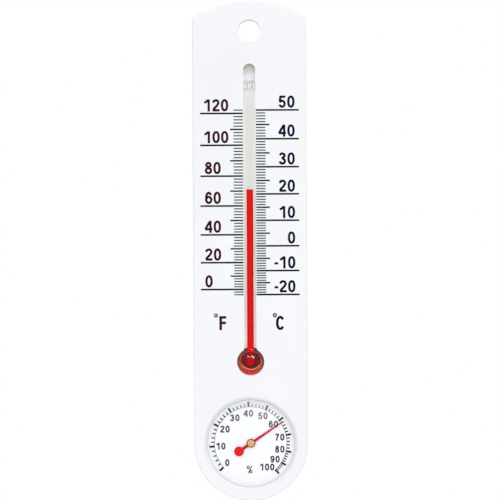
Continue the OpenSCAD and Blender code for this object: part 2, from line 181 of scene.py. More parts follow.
def dress(node, finish):
    """Gives a CAD node its finish."""
    cad[node].data.materials.clear()
    cad[node].data.materials.append(finish)


def soften(node, limit):
    """Smooth shading over the flats of a curved wall: faces at one point share a normal where they
    meet at less than the limit in degrees. Only the shading changes."""
    mesh = cad[node].data
    least = math.cos(math.radians(limit))

    def place_of(corner):
        """Where a corner is, to the micrometre."""
        return tuple(round(c * 1e6) for c in mesh.vertices[corner].co)

    meeting = {}
    for face in mesh.polygons:
        for corner in face.vertices:
            meeting.setdefault(place_of(corner), []).append((face.normal.copy(), face.area))
    normals = []
    for face in mesh.polygons:
        face.use_smooth = True
        for corner in face.vertices:
            near = [n * a for n, a in meeting[place_of(corner)] if n.dot(face.normal) > least]
            normals.append(sum(near, Vector()).normalized() if near else face.normal.copy())
    mesh.normals_split_custom_set(normals)


shell_white, tree, shader = new_finish("shell_white", Specular_IOR_Level=0.45)
skin = wire(tree, shader, moulded_skin, 0.06, 0.02 * MM,
            {"Colour": rgb(248, 249, 252), "Cloud": rgb(245, 246, 249), "Glossy": 0.27, "Dull": 0.36})

# Painted shade on the wall of the hanging hole: it is painted grey, greyest at its top
HANG_R = 5.0 * MM
shell_spot = spot_on(tree)
hole_reach = reach_of(tree, shell_spot, (0.0, 0.0, 0.0))
shell_height = place(tree, "SeparateXYZ", {0: shell_spot}).outputs["Z"]
hole_wall_shade = times(tree, spread(tree, hole_reach, HANG_R + 0.05 * MM, HANG_R + 0.01 * MM),
                 spread(tree, shell_height, -4.0 * MM, 1.0 * MM))
tree.links.new(mixed(tree, hole_wall_shade, skin.outputs["Colour"], rgb(190, 187, 183)),
               shader.inputs["Base Color"])

CURVE_LIMIT = 30
dress("front_shell", shell_white)
soften("front_shell", CURVE_LIMIT)


# Printed scales
# Screen-printed on the face: black lines and finer grey-green ones, then maroon numbers for
# Fahrenheit and navy ones for Celsius. The ink stands a few hundredths of a millimetre proud.

INK_PROUD = 0.03 * MM
INK_SUNK = 0.02 * MM

# Screen ink: it thins in specks where the mesh of the screen left less
screen_ink, ink_in, ink_out = new_group(
    "screen_ink",
    [("Ink", "Color", rgb(20, 24, 24)), ("Thin", "Color", rgb(60, 70, 70)),
     ("Mesh scale", "Float", 2600.0)],
    [("Colour", "Color"), ("Roughness", "Float"), ("Height", "Float")])
ink_spot = spot_on(screen_ink)
ink_specks = noise(screen_ink, ink_spot, ink_in.outputs["Mesh scale"], 3.0, 0.6)
ink_flow = noise(screen_ink, ink_spot, 160.0, 2.0)
ink_share = times(screen_ink, spread(screen_ink, ink_specks, 0.45, 0.75),
                  spread(screen_ink, ink_flow, 0.3, 0.7, 0.3, 1.0))
screen_ink.links.new(mixed(screen_ink, ink_share, ink_in.outputs["Ink"], ink_in.outputs["Thin"]),
                     ink_out.inputs["Colour"])
screen_ink.links.new(spread(screen_ink, ink_specks, 0.3, 0.7, 0.42, 0.62), ink_out.inputs["Roughness"])
screen_ink.links.new(ink_specks, ink_out.inputs["Height"])


def ink(name, full, thin):
    """An ink of one colour."""
    finish, tree, shader = new_finish(name, Specular_IOR_Level=0.05)
    wire(tree, shader, screen_ink, 0.15, 0.01 * MM, {"Ink": full, "Thin": thin})
    return finish


def new_piece(name, verts, faces, finish, body, smooth=False):
    """A piece of the visual model from its points and faces, in metres."""
    mesh = bpy.data.meshes.new(name)
    mesh.from_pydata([tuple(v) for v in verts], [], [tuple(f) for f in faces])
    mesh.materials.append(finish)
    mesh.update()
    for face in mesh.polygons:
        face.use_smooth = smooth
    piece = bpy.data.objects.new(name, mesh)
    bpy.context.scene.collection.objects.link(piece)
    if body:
        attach(piece, body)
    return piece


# Digits and letters, as strokes in a cell one unit high. Each stroke is a list of points along the
# middle of the pen, whose usual width is PEN.
PEN = 0.187
GLYPH_W = 0.6


def bow(cx, cy, rx, ry, start, end, count=24, square=2.0):
    """Points along part of an ellipse from one angle to another, in degrees, anticlockwise."""
    points = []
    for i in range(count + 1):
        a = math.radians(start + (end - start) * i / count)
        c, s = math.cos(a), math.sin(a)
        points.append((cx + rx * math.copysign(abs(c) ** (2 / square), c),
                       cy + ry * math.copysign(abs(s) ** (2 / square), s)))
    return points


HALF = PEN / 2
MID = GLYPH_W / 2
GLYPHS = {
    "0": [bow(MID, 0.5, MID - HALF, 0.5 - HALF, 0, 360, 40, 2.25)],
    "1": [[(0.41, 0.0), (0.41, 0.98)], [(0.05, 0.72), (0.18, 0.77), (0.30, 0.86), (0.37, 0.965)]],
    "2": [bow(MID - 0.01, 0.715, MID - HALF, 0.285 - HALF, 172, -38, 18)
          + [(0.36, 0.44), (0.20, 0.29), (0.11, 0.18), (0.085, HALF + 0.03)],
          [(0.04, HALF), (GLYPH_W - 0.01, HALF)]],
    "3": [bow(MID - 0.02, 0.745, MID - HALF - 0.025, 0.255 - HALF, 165, -80, 18),
          [(0.22, 0.535), (0.33, 0.535)],
          bow(MID - 0.015, 0.29, MID - HALF, 0.29 - HALF, 80, -165, 20)],
    "4": [[(0.44, 0.0), (0.44, 0.98)], [(0.415, 0.95), (0.06, 0.36), (0.045, 0.30)],
          [(0.0, 0.292), (0.6, 0.292)]],
    "5": [[(0.56, 1 - HALF), (0.13, 1 - HALF)], [(0.165, 0.98), (0.095, 0.50)],
          bow(MID - 0.015, 0.335, MID - HALF, 0.335 - HALF, 145, -160, 22)],
    "6": [bow(MID + 0.01, 0.5, MID - HALF, 0.5 - HALF, 38, 195, 24, 2.1),
          bow(MID + 0.01, 0.335, MID - HALF, 0.335 - HALF, 0, 360, 32)],
    "7": [[(0.02, 1 - HALF), (0.58, 1 - HALF)],
          [(0.53, 0.93), (0.40, 0.72), (0.29, 0.45), (0.235, 0.2), (0.22, 0.0)]],
    "8": [bow(MID, 0.752, MID - HALF - 0.035, 0.248 - HALF, 0, 360, 32),
          bow(MID, 0.288, MID - HALF, 0.288 - HALF, 0, 360, 32)],
    "9": [bow(MID - 0.01, 0.5, MID - HALF, 0.5 - HALF, 218, 375, 24, 2.1),
          bow(MID - 0.01, 0.665, MID - HALF, 0.335 - HALF, 0, 360, 32)],
    "-": [[(0.30, 0.42), (0.60, 0.42)]],
}


def pen_field(strokes, pen, grid):
    """How far each point of a square grid lies outside the ink of a pen drawn along the strokes."""
    px, py = np.meshgrid(grid, grid, indexing="ij")
    field = np.full(px.shape, math.inf)
    for stroke in strokes:
        closed = math.dist(stroke[0], stroke[-1]) < 1e-6
        for (ax, ay), (bx, by) in zip(stroke, stroke[1:]):
            length = math.hypot(bx - ax, by - ay)
            ux, uy = (bx - ax) / length, (by - ay) / length
            along = (px - ax) * ux + (py - ay) * uy - length / 2
            across = (py - ay) * ux - (px - ax) * uy
            qx, qy = np.abs(along) - length / 2, np.abs(across) - pen / 2
            outside = np.hypot(np.maximum(qx, 0), np.maximum(qy, 0))
            field = np.minimum(field, outside + np.minimum(np.maximum(qx, qy), 0))
        for jx, jy in stroke if closed else stroke[1:-1]:
            field = np.minimum(field, np.hypot(px - jx, py - jy) - pen / 2)
    return field


def edge_loops(field, grid):
    """Closed loops round the ink, walked from cell to cell of the grid."""
    inside = field < 0
    onward = {}
    count = inside[:-1, :-1].astype(int) + inside[1:, :-1] + inside[:-1, 1:] + inside[1:, 1:]
    for i, j in np.argwhere((count > 0) & (count < 4)):
        ring = [(i, j), (i + 1, j), (i + 1, j + 1), (i, j + 1)]
        leaves = [(a, b) for a, b in zip(ring, ring[1:] + ring[:1]) if inside[a] and not inside[b]]
        enters = [(b, a) for a, b in zip(ring, ring[1:] + ring[:1]) if inside[b] and not inside[a]]
        if len(leaves) == 2 and ring.index(leaves[0][0]) > ring.index(enters[0][0]):
            enters.reverse()
        onward.update(zip(enters, leaves))
    loops = []
    while onward:
        key, after = onward.popitem()
        first, loop = key, []
        while True:
            a, b = after
            t = field[a] / (field[a] - field[b])
            loop.append(tuple(grid[p] + t * (grid[q] - grid[p]) for p, q in zip(a, b)))
            if after == first:
                break
            after = onward.pop(after)
        loops.append(loop)
    return loops


def thinned(loop, slack):
    """A loop without the points that lie on the line between their neighbours."""
    stack = [(0, len(loop) // 2), (len(loop) // 2, len(loop))]
    kept = {0, len(loop) // 2}
    while stack:
        a, b = stack.pop()
        ends = Vector(loop[a]), Vector(loop[b % len(loop)])
        line = (ends[1] - ends[0]).normalized()
        worst, far = 0, None
        for k in range(a + 1, b):
            off = Vector(loop[k]) - ends[0]
            gap = abs(off.x * line.y - off.y * line.x)
            if gap > worst:
                worst, far = gap, k
        if worst > slack:
            kept.add(far)
            stack += [(a, far), (far, b)]
    return [loop[k] for k in sorted(kept)]


def solid_from_loops(loops):
    """A slab one unit deep from flat loops, as its points (x, depth, y) and faces."""
    bm = bmesh.new()
    edges = []
    for loop in loops:
        ring = [bm.verts.new((x, 0.0, y)) for x, y in loop]
        edges += [bm.edges.new((a, b)) for a, b in zip(ring, ring[1:] + ring[:1])]
    bmesh.ops.triangle_fill(bm, use_beauty=True, use_dissolve=False, edges=edges, normal=(0, -1, 0))
    faces = list(bm.faces)
    moved = bmesh.ops.extrude_face_region(bm, geom=faces)["geom"]
    for v in moved:
        if isinstance(v, bmesh.types.BMVert):
            v.co.y += 1.0
    bmesh.ops.recalc_face_normals(bm, faces=bm.faces)
    bm.verts.index_update()
    points = [tuple(v.co) for v in bm.verts]
    made = [[v.index for v in f.verts] for f in bm.faces]
    bm.free()
    return points, made


# The grid that a character is traced on, and how far its edge may be from the traced one, both in
# shares of the character's height
CELL_GRID = np.linspace(-0.12, 1.12, 109)
CELL_SLACK = 0.0025
glyph_solids = {}


def glyph_solid(mark, strokes, pen=PEN):
    """The slab of one character, made once and kept."""
    if (mark, pen) not in glyph_solids:
        field = pen_field(strokes, pen, CELL_GRID)
        loops = [thinned(loop, CELL_SLACK) for loop in edge_loops(field, CELL_GRID)]
        glyph_solids[mark, pen] = solid_from_loops(loops)
    return glyph_solids[mark, pen]


def new_print(name, solids, finish, face_y=0.0):
    """A printed piece, joined from solids (points, faces, x, z, width scale, height scale) and set at
    the ink's depth on a face."""
    verts, faces = [], []
    for points, made, x, z, wide, high in solids:
        first = len(verts)
        verts += [(x + p[0] * wide, face_y - INK_PROUD + p[1] * (INK_PROUD + INK_SUNK), z + p[2] * high)
                  for p in points]
        faces += [[first + k for k in f] for f in made]
    return new_piece(name, verts, faces, finish, "root")


def number_solids(text, x, z, height, advance, align, pen=PEN):
    """Characters of a number, set from the left edge, the right edge or the middle."""
    pitch = advance * height
    start = {"left": x, "right": x - pitch * len(text), "middle": x - pitch * len(text) / 2}[align]
    bearing = (advance - GLYPH_W) / 2 * height
    return [(*glyph_solid(c, GLYPHS[c], pen), start + bearing + pitch * k, z, height, height)
            for k, c in enumerate(text)]


# Faces of a box that has points 0 to 3 round its front and 4 to 7 round its back
BOX_FACES = [(0, 1, 2, 3), (7, 6, 5, 4), (0, 4, 5, 1), (1, 5, 6, 2), (2, 6, 7, 3), (3, 7, 4, 0)]


def bar(x0, x1, z, thick):
    """A printed line across the face."""
    points = [(a, d, b) for d in (0, 1) for a, b in ((0, 0), (1, 0), (1, 1), (0, 1))]
    return points, BOX_FACES, min(x0, x1), z - thick / 2, abs(x1 - x0), thick


# Where the spirit stands at 0 C, how far it rises with a degree there, and how that rise grows, in mm
LEVEL_AT_ZERO, RISE, RISE_GROWTH = -94.5, 1.1056, 0.001785


def height_of(celsius):
    """Height on the face, in metres, at which the spirit stands at a temperature."""
    return (LEVEL_AT_ZERO + RISE * celsius + RISE_GROWTH * celsius ** 2) * MM


LINE_THICK = {"full": 0.73 * MM, "half": 0.66 * MM, "short": 0.5 * MM}
line_black = ink("line_black", rgb(10, 20, 18), rgb(30, 44, 40))
fine_line_grey = ink("fine_line_grey", rgb(24, 70, 60), rgb(58, 110, 98))
fahrenheit_maroon = ink("fahrenheit_maroon", rgb(58, 0, 30), rgb(80, 6, 48))
celsius_navy = ink("celsius_navy", rgb(2, 4, 58), rgb(14, 20, 84))

# Each line runs from the inner edge of its scale to the end for its kind, in mm from the middle
scales = {
    "fahrenheit": {"side": -1, "steps": range(-4, 123, 2), "full": 20, "half": 10,
                   "in_c": lambda f: (f - 32) / 1.8,
                   "inner": 2.9, "ends": {"full": 21.7, "half": 8.6, "short": 7.0}},
    "celsius": {"side": 1, "steps": range(-20, 51), "full": 10, "half": 5,
                "in_c": float,
                "inner": 2.8, "ends": {"full": 21.7, "half": 8.8, "short": 7.0}},
}
for scale, s in scales.items():
    bars, fine_bars = [], []
    for step in s["steps"]:
        kind = "full" if step % s["full"] == 0 else "half" if step % s["half"] == 0 else "short"
        line = bar(s["side"] * s["inner"] * MM, s["side"] * s["ends"][kind] * MM,
                   height_of(s["in_c"](step)), LINE_THICK[kind])
        (fine_bars if kind == "short" else bars).append(line)
    new_print(scale + "_lines", bars, line_black)
    new_print(scale + "_fine_lines", fine_bars, fine_line_grey)

NUMBER_H = 5.4 * MM
NUMBER_OVER_LINE = 0.9 * MM
NUMBER_ADVANCE = 0.70
NUMBERS_LEFT, HUNDREDS_LEFT, NUMBERS_RIGHT = -20.0 * MM, -20.35 * MM, 20.15 * MM
numbers = []
for f in range(0, 121, 20):
    left = HUNDREDS_LEFT if f >= 100 else NUMBERS_LEFT
    numbers += number_solids(str(f), left, height_of((f - 32) / 1.8) + NUMBER_OVER_LINE,
                             NUMBER_H, NUMBER_ADVANCE, "left")
new_print("fahrenheit_numbers", numbers, fahrenheit_maroon)
numbers = []
for c in range(-20, 51, 10):
    numbers += number_solids(str(c), NUMBERS_RIGHT, height_of(c) + NUMBER_OVER_LINE,
                             NUMBER_H, NUMBER_ADVANCE, "right")
new_print("celsius_numbers", numbers, celsius_navy)

# Unit marks below the scales: a small ring and a tall letter on each side. A pen is a share of the
# height of what it draws.
UNIT_H, UNIT_LOW, UNIT_PEN = 6.1 * MM, -131.4575 * MM, 0.185
RING_H, RING_MIDDLE, RING_PEN = 1.75 * MM, -124.9945 * MM, 0.32
LETTERS = {
    "F": [[(0.09, 0.0), (0.09, 1.0)], [(0.02, 0.92), (0.50, 0.92)], [(0.09, 0.52), (0.47, 0.52)]],
    "C": [bow(0.30, 0.5, 0.22, 0.42, 38, 322, 30, 2.2)],
    "ring": [bow(0.5, 0.5, 0.36, 0.36, 0, 360, 32)],
}


def unit_mark(name, letter, letter_x, ring_x, finish):
    """The ring and the letter of a unit, from its letter's left edge and its ring's middle."""
    new_print(name, [
        (*glyph_solid(letter, LETTERS[letter], UNIT_PEN), letter_x, UNIT_LOW, UNIT_H, UNIT_H),
        (*glyph_solid("ring", LETTERS["ring"], RING_PEN),
         ring_x - RING_H / 2, RING_MIDDLE - RING_H / 2, RING_H, RING_H)], finish)


unit_mark("fahrenheit_mark", "F", -13.65 * MM, -15.15 * MM, fahrenheit_maroon)
unit_mark("celsius_mark", "C", 11.3 * MM, 10.75 * MM, celsius_navy)


# Stem cradle, its pads and its screws
# A white ABS trough behind the face presses the stem forward with foam pads. Its floor shows above
# the tip of the glass, where it is in shadow. Four pan-head screws hold it on the face's bosses.

cradle_white, tree, shader = new_finish("cradle_white", Specular_IOR_Level=0.4)
skin = wire(tree, shader, moulded_skin, 0.1, 0.02 * MM,
            {"Colour": rgb(251, 251, 254), "Cloud": rgb(248, 248, 251), "Glossy": 0.4, "Dull": 0.55})

# Painted shade: the trough's floor in the top of the slot is painted a darker beige, under the slot's top
# end
cradle_spot = place(tree, "SeparateXYZ", {0: spot_on(tree)})
cradle_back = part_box("stem_cradle")[1].y
slot_top_shade = times(tree, spread(tree, cradle_spot.outputs["Z"], -18.5 * MM, -14.5 * MM),
                  spread(tree, cradle_spot.outputs["Y"], cradle_back - 0.3 * MM, cradle_back - 0.6 * MM))
tree.links.new(mixed(tree, slot_top_shade, skin.outputs["Colour"], rgb(232, 218, 208)),
               shader.inputs["Base Color"])
dress("stem_cradle", cradle_white)

foam, tree, shader = new_finish("pad_foam", Specular_IOR_Level=0.2, Roughness=0.95)
foam_cells = place(tree, "TexVoronoi", {"Vector": spot_on(tree), "Scale": 2600.0}).outputs["Distance"]
tree.links.new(mixed(tree, spread(tree, foam_cells, 0.1, 0.7), rgb(38, 38, 40), rgb(74, 74, 78)),
               shader.inputs["Base Color"])
roughen(tree, shader, foam_cells, 0.6, 0.15 * MM)
dress("stem_pads", foam)

# Turned metal: fine rings round an axis along Y, and a tarnish that gathers in patches
turned_metal, metal_in, metal_out = new_group(
    "turned_metal",
    [("Bright", "Color", rgb(220, 220, 222)), ("Tarnish", "Color", rgb(150, 148, 144)),
     ("Centre", "Vector", (0.0, 0.0, 0.0)), ("Ring scale", "Float", 9000.0),
     ("Glossy", "Float", 0.2), ("Dull", "Float", 0.4)],
    [("Colour", "Color"), ("Roughness", "Float"), ("Height", "Float")])
metal_spot = spot_on(turned_metal)
metal_reach = reach_of(turned_metal, metal_spot, metal_in.outputs["Centre"])
metal_turn = times(turned_metal, metal_reach, metal_in.outputs["Ring scale"])
metal_patch = noise(turned_metal, metal_spot, 700.0, 4.0)
turned_metal.links.new(
    mixed(turned_metal, spread(turned_metal, metal_patch, 0.4, 0.7),
          metal_in.outputs["Bright"], metal_in.outputs["Tarnish"]),
    metal_out.inputs["Colour"])
turned_metal.links.new(
    spread(turned_metal, metal_patch, 0.35, 0.65, metal_in.outputs["Glossy"], metal_in.outputs["Dull"]),
    metal_out.inputs["Roughness"])
turned_metal.links.new(maths(turned_metal, "SINE", metal_turn), metal_out.inputs["Height"])

screw_steel, tree, shader = new_finish("screw_steel", Metallic=1.0)
wire(tree, shader, turned_metal, 0.1, 0.01 * MM,
     {"Bright": rgb(205, 207, 210), "Tarnish": rgb(160, 160, 158), "Glossy": 0.25, "Dull": 0.42})
dress("cradle_screws", screw_steel)


# Glass stem and bulb
# One length of drawn soda glass with a fine bore, closed at its tip and blown to a bulb at the
# bottom. A coat of cream enamel on its back makes the empty bore look opal from the front.


def keep_lit(tree, shader, tint, *open_shares):
    """Clear material that lamps and scattered light pass straight through, with a tint, so that what is
    behind it stays lit. Other rays pass straight for the open shares."""
    rays = tree.nodes.new("ShaderNodeLightPath")
    straight = place(tree, "BsdfTransparent", {"Color": tint})
    shown = shader
    for share in (*open_shares, rays.outputs["Is Diffuse Ray"], rays.outputs["Is Shadow Ray"]):
        both = place(tree, "MixShader", {0: share})
        tree.links.new(shown.outputs[0], both.inputs[1])
        tree.links.new(straight.outputs["BSDF"], both.inputs[2])
        shown = both
    tree.links.new(shown.outputs[0], tree.nodes["Material Output"].inputs["Surface"])


# Drawn glass: long faint ripples down the stem
GLASS_TINT = (0.99, 0.995, 0.992, 1.0)
NO_TINT = (1.0, 1.0, 1.0, 1.0)
drawn_glass, tree, shader = new_finish("clear_glass", Base_Color=GLASS_TINT, Roughness=0.0,
                                       IOR=1.5, Specular_IOR_Level=0.3, Transmission_Weight=1.0)
glass_spot = spot_on(tree)
glass_long = place(tree, "VectorMath", {0: glass_spot, 1: (1.0, 1.0, 0.05)}, operation="MULTIPLY")
roughen(tree, shader, noise(tree, glass_long.outputs[0], 250.0, 0.0), 0.015, 0.005 * MM)

# Below the tip, rays pass straight through the wall of the bore, so that the empty bore has no dark
# edges and shows the coat behind it
column_low, column_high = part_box("spirit_column")
stem_y = (column_low.y + column_high.y) / 2
stem_reach = reach_of(tree, glass_spot, (0.0, stem_y, 0.0), (1.0, 1.0, 0.0))
glass_height = place(tree, "SeparateXYZ", {0: glass_spot}).outputs["Z"]
bore_wall = times(tree, spread(tree, stem_reach, 1.3 * MM, 1.2 * MM),
                  spread(tree, glass_height, -24.0 * MM, -25.5 * MM))

# Painted light: the glass near the bulb's rim is tinted pale orange, standing in for the spirit's colour
# seen through it from the side
glass_low, glass_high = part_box("thermometer_glass")
bulb_r = (glass_high.x - glass_low.x) / 2
rim_reach = reach_of(tree, glass_spot, (0.0, 0.0, glass_low.z + bulb_r))
rim_tint = times(tree, spread(tree, rim_reach, bulb_r - 1.2 * MM, bulb_r - 0.5 * MM),
                 spread(tree, glass_height, glass_low.z + 1.9 * bulb_r, glass_low.z + 1.6 * bulb_r))
tree.links.new(mixed(tree, rim_tint, GLASS_TINT, rgb(255, 160, 118)), shader.inputs["Base Color"])
keep_lit(tree, shader, NO_TINT, bore_wall)
dress("thermometer_glass", drawn_glass)

enamel_white, tree, shader = new_finish("enamel_white", Specular_IOR_Level=0.3)
wire(tree, shader, moulded_skin, 0.1, 0.01 * MM,
     {"Colour": rgb(255, 254, 250), "Cloud": rgb(253, 252, 247), "Cloud scale": 120.0,
      "Glossy": 0.3, "Dull": 0.45})

# The coat is a part of a tube, COAT_HALF degrees to each side of the back. Each level has an arc of
# inner points and one of outer points. What wets a wall reaches a little into it.
WETS = 0.01 * MM
COAT_THICK = 0.1 * MM
COAT_HALF = 80
COAT_BOTTOM = -139.9 * MM
COAT_LEVELS, COAT_STEPS = 24, 32
coat_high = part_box("enamel_backing")[1]
coat_out = coat_high.y - stem_y
verts, faces = [], []
for i in range(COAT_LEVELS + 1):
    z = COAT_BOTTOM + (coat_high.z - COAT_BOTTOM) * i / COAT_LEVELS
    for r in (coat_out - COAT_THICK - WETS, coat_out):
        for k in range(COAT_STEPS + 1):
            a = math.radians(-COAT_HALF + 2 * COAT_HALF * k / COAT_STEPS)
            verts.append((r * math.sin(a), stem_y + r * math.cos(a), z))
arc = COAT_STEPS + 1
top = 2 * arc * COAT_LEVELS
for i in range(COAT_LEVELS):
    a, b = 2 * arc * i, 2 * arc * (i + 1)
    for k in range(COAT_STEPS):
        faces += [(a + k, b + k, b + k + 1, a + k + 1),
                  (a + arc + k, a + arc + k + 1, b + arc + k + 1, b + arc + k)]
    faces += [(a, a + arc, b + arc, b),
              (a + COAT_STEPS, b + COAT_STEPS, b + COAT_STEPS + arc, a + COAT_STEPS + arc)]
for k in range(COAT_STEPS):
    faces += [(k, k + 1, k + 1 + arc, k + arc), (top + k, top + k + arc, top + k + 1 + arc, top + k + 1)]
coat = new_piece("enamel_coat", verts, faces, enamel_white, "root", smooth=True)
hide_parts("enamel_backing")


# Red spirit
# Dyed spirit fills the bulb and stands in the bore. It wets the glass, so it touches the wall all
# round and its top is dished. The column grows and shrinks between the bulb and its moving top.

# The CAD's spirit stands this far off the glass, and the skin made here closes that gap
FILL_GAP = 0.02 * MM
fill_low, fill_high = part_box("spirit_fill")
bore_r = (column_high.x - column_low.x) / 2 + FILL_GAP
cavity_r = (fill_high.x - fill_low.x) / 2 + FILL_GAP
bulb_z = (fill_low.z - FILL_GAP) + cavity_r
level_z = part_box("spirit_meniscus")[1].z


def turned(profile, axis_y, steps=64):
    """A body of revolution about an upright axis in the middle. The profile runs from pole to pole
    as (r, z)."""
    turns = [(math.cos(2 * math.pi * k / steps), math.sin(2 * math.pi * k / steps)) for k in range(steps)]
    verts = [(0.0, axis_y, profile[0][1])]
    verts += [(r * c, axis_y + r * s, z) for r, z in profile[1:-1] for c, s in turns]
    verts.append((0.0, axis_y, profile[-1][1]))
    faces = [(0, 1 + (k + 1) % steps, 1 + k) for k in range(steps)]
    for ring in range(len(profile) - 3):
        a, b = 1 + ring * steps, 1 + (ring + 1) * steps
        faces += [(a + k, a + (k + 1) % steps, b + (k + 1) % steps, b + k) for k in range(steps)]
    last = 1 + (len(profile) - 3) * steps
    faces += [(last + k, last + (k + 1) % steps, len(verts) - 1) for k in range(steps)]
    return verts, faces


def arc_of(x, z, r, start, end, count):
    """Points (r, z) of a profile along an arc, in radians, without the point at its start."""
    angles = [start + (end - start) * i / count for i in range(1, count + 1)]
    return [(x + r * math.cos(a), z + r * math.sin(a)) for a in angles]


# The profile: the ball, the fillet at its neck, the thread of spirit in the bore, and its dished top
ball_r, fillet_r, thread_r = cavity_r + WETS, 2.0 * MM - WETS, bore_r + WETS
fillet_x = thread_r + fillet_r
fillet_h = math.sqrt((ball_r + fillet_r) ** 2 - fillet_x ** 2)
shoulder = math.atan2(fillet_h, fillet_x)
foot_z = bulb_z + fillet_h
THREAD_RINGS, DISH_RINGS = 60, 9
spirit_profile = [(0.0, bulb_z - ball_r)]
spirit_profile += arc_of(0.0, bulb_z, ball_r, -math.pi / 2, shoulder, 40)
spirit_profile += arc_of(fillet_x, foot_z, fillet_r, math.pi + shoulder, math.pi, 16)
for i in range(1, THREAD_RINGS + 1):
    spirit_profile.append((thread_r, foot_z + (level_z - foot_z) * i / THREAD_RINGS))
dish_r = 1.3 * bore_r
rim = math.asin(thread_r / dish_r)
for i in range(1, DISH_RINGS):
    a = rim * (1 - i / DISH_RINGS)
    spirit_profile.append((dish_r * math.sin(a), level_z - dish_r * (math.cos(a) - math.cos(rim))))
spirit_profile.append((0.0, level_z - dish_r * (1 - math.cos(rim))))

# In the ball the spirit's colour is painted with the light and shade of the ball lens: a deep maroon
# middle as painted shade, a clear red heart and a salmon glow below as painted light, and a red flow
# from the bore above it. Towards the wall it is amber, as painted light through the thin edge, redder
# at the bottom and browner at the top, with a dark brown edge at the sides and the top as painted
# shade. In the bore it is plain red. The ovals are in mm.
spirit_red, tree, shader = new_finish("spirit_red", Specular_IOR_Level=0.0)
from_ball = place(tree, "VectorMath", {0: spot_on(tree), 1: (0.0, stem_y, bulb_z)}, operation="SUBTRACT")
in_mm = place(tree, "VectorMath", {0: from_ball.outputs[0], "Scale": 1 / MM}, operation="SCALE").outputs[0]
swirl = noise(tree, in_mm, 0.9, 3.0)
part = place(tree, "SeparateXYZ", {0: in_mm})
across, up = maths(tree, "ABSOLUTE", part.outputs["X"]), part.outputs["Z"]


def oval(x, z, half_x, half_z):
    """How far a point is from the middle of an upright oval, with 1 on its edge, a little swirled."""
    reach = reach_of(tree, in_mm, (x, 0.0, z), (1 / half_x, 0.0, 1 / half_z))
    return maths(tree, "ADD", reach, spread(tree, swirl, 0.3, 0.7, -0.03, 0.03))


disc, heart, ball = oval(0.15, 0.95, 4.0, 3.65), oval(-0.15, 0.2, 1.5, 1.45), oval(0.0, 0.0, 5.5, 5.5)
# Painted light through the thin edge of the ball: amber, redder at the bottom and browner at the top
tone = mixed(tree, spread(tree, up, -2.6, -4.6), rgb(196, 70, 20), rgb(212, 14, 8))
tone = mixed(tree, spread(tree, up, 0.8, 3.4), tone, rgb(148, 38, 20))
# Painted shade: a dark brown edge at the sides and the top
rim_shade = times(tree, spread(tree, ball, 0.86, 0.95), spread(tree, up, -4.4, -2.4))
tone = mixed(tree, rim_shade, tone, rgb(70, 18, 6))
# Painted light: a salmon glow under the middle
painted_glow = times(tree, spread(tree, disc, 1.2, 1.1), spread(tree, up, -0.6, -2.2))
tone = mixed(tree, times(tree, painted_glow, spread(tree, disc, 0.98, 1.06)), tone, rgb(255, 150, 136))
# Painted shade: the deep maroon middle
tone = mixed(tree, spread(tree, disc, 1.08, 0.96), tone, rgb(98, 34, 40))
flow = times(tree, spread(tree, oval(0.1, 2.6, 2.3, 2.6), 1.1, 0.6), spread(tree, disc, 1.3, 0.9))
tone = mixed(tree, flow, tone, rgb(146, 24, 34))
# Painted light: the clear red heart
tone = mixed(tree, spread(tree, heart, 1.25, 0.85), tone, rgb(200, 10, 20))
bore = times(tree, spread(tree, up, 3.7, 4.9), spread(tree, across, 1.6, 1.0))
tone = mixed(tree, bore, tone, rgb(232, 22, 30))
tree.links.new(tone, shader.inputs["Base Color"])
tree.links.new(spread(tree, swirl, 0.3, 0.7, 0.06, 0.14), shader.inputs["Roughness"])
keep_lit(tree, shader, (1.0, 0.86, 0.8, 1.0))

verts, faces = turned(spirit_profile, stem_y)
spirit = new_piece("red_spirit", verts, faces, spirit_red, None, smooth=True)
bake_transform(spirit)
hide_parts("spirit_fill", "spirit_column", "spirit_meniscus")


# Hygrometer case and its screws
# A white ABS cup with a flange clamps dial and window against the back of the face. Slots in the
# cup let the room's air in. Two screws hold its ears, and its foot slides under a lug.

case_white, tree, shader = new_finish("case_white", Specular_IOR_Level=0.45)
wire(tree, shader, moulded_skin, 0.1, 0.02 * MM,
     {"Colour": rgb(238, 239, 240), "Cloud": rgb(231, 232, 233), "Glossy": 0.35, "Dull": 0.5})
dress("hygrometer_case", case_white)
dress("case_screws", screw_steel)


# Dial plate and its print
# A stamped sheet painted white, printed with an uneven humidity scale: a thin arc, a line for every
# two per cent, upright numbers in violet and a per cent sign. Near the top its inks are paler, as painted
# glare.

dial_white, tree, shader = new_finish("dial_white", Specular_IOR_Level=0.4)
wire(tree, shader, moulded_skin, 0.05, 0.01 * MM,
     {"Colour": rgb(251, 253, 255), "Cloud": rgb(249, 251, 254), "Cloud scale": 60.0,
      "Glossy": 0.45, "Dull": 0.6})
dress("dial_plate", dial_white)

plate_low, plate_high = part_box("dial_plate")
dial_x, dial_z = 0.0, (plate_low.z + plate_high.z) / 2
dial_centre = (dial_x, 0.0, dial_z)
dial_face = plate_low.y

# The scale's lines are printed 0.2 mm to the left of the pointer's axis. The angles of 0 to 100 per
# cent, in steps of ten, are in degrees clockwise from the top.
print_x = dial_x - 0.2 * MM
TENS = [-131.6, -95.0, -62.2, -32.3, -2.9, 24.8, 51.9, 77.6, 102.8, 122.3, 137.3]


def clock_point(angle, r):
    """A point of the scale from its angle clockwise from the top and its distance from the centre."""
    a = math.radians(angle)
    return print_x + r * math.sin(a), dial_z + r * math.cos(a)


def radial_line(angle, near, far, thick):
    """A printed line that points at the scale's centre."""
    a = math.radians(angle)
    ux, uz = math.sin(a), math.cos(a)
    corners = [(near, -thick / 2), (near, thick / 2), (far, thick / 2), (far, -thick / 2)]
    flat = [(print_x + r * ux + t * uz, dial_z + r * uz - t * ux) for r, t in corners]
    points = [(x, d, z) for d in (0, 1) for x, z in flat]
    return points, BOX_FACES, 0, 0, 1, 1


